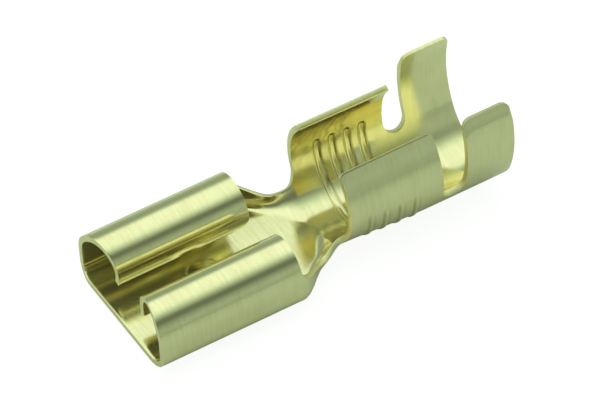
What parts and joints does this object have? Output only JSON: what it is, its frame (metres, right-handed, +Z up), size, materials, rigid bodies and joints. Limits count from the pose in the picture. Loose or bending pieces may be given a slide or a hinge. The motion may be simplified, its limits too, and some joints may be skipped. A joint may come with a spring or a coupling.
{
  "type": "female blade crimp terminal",
  "caption": "Push-on female blade terminal stamped from one brass sheet, with a rolled receptacle, a waisted neck, serrated open wire-crimp wings and taller insulation wings.",
  "frame": {"origin": "middle of the part's length and width, on the plane under its lowest rib", "axes": "+X from the mouth to the cable end, +Z up out of the open barrel, +Y across"},
  "size_m": [0.0194, 0.0076, 0.0062],
  "materials": {
    "brass": "bright rolled sheet"
  },
  "bodies": {
    "root": {"terminal": "brass"}
  },
  "joints": []
}
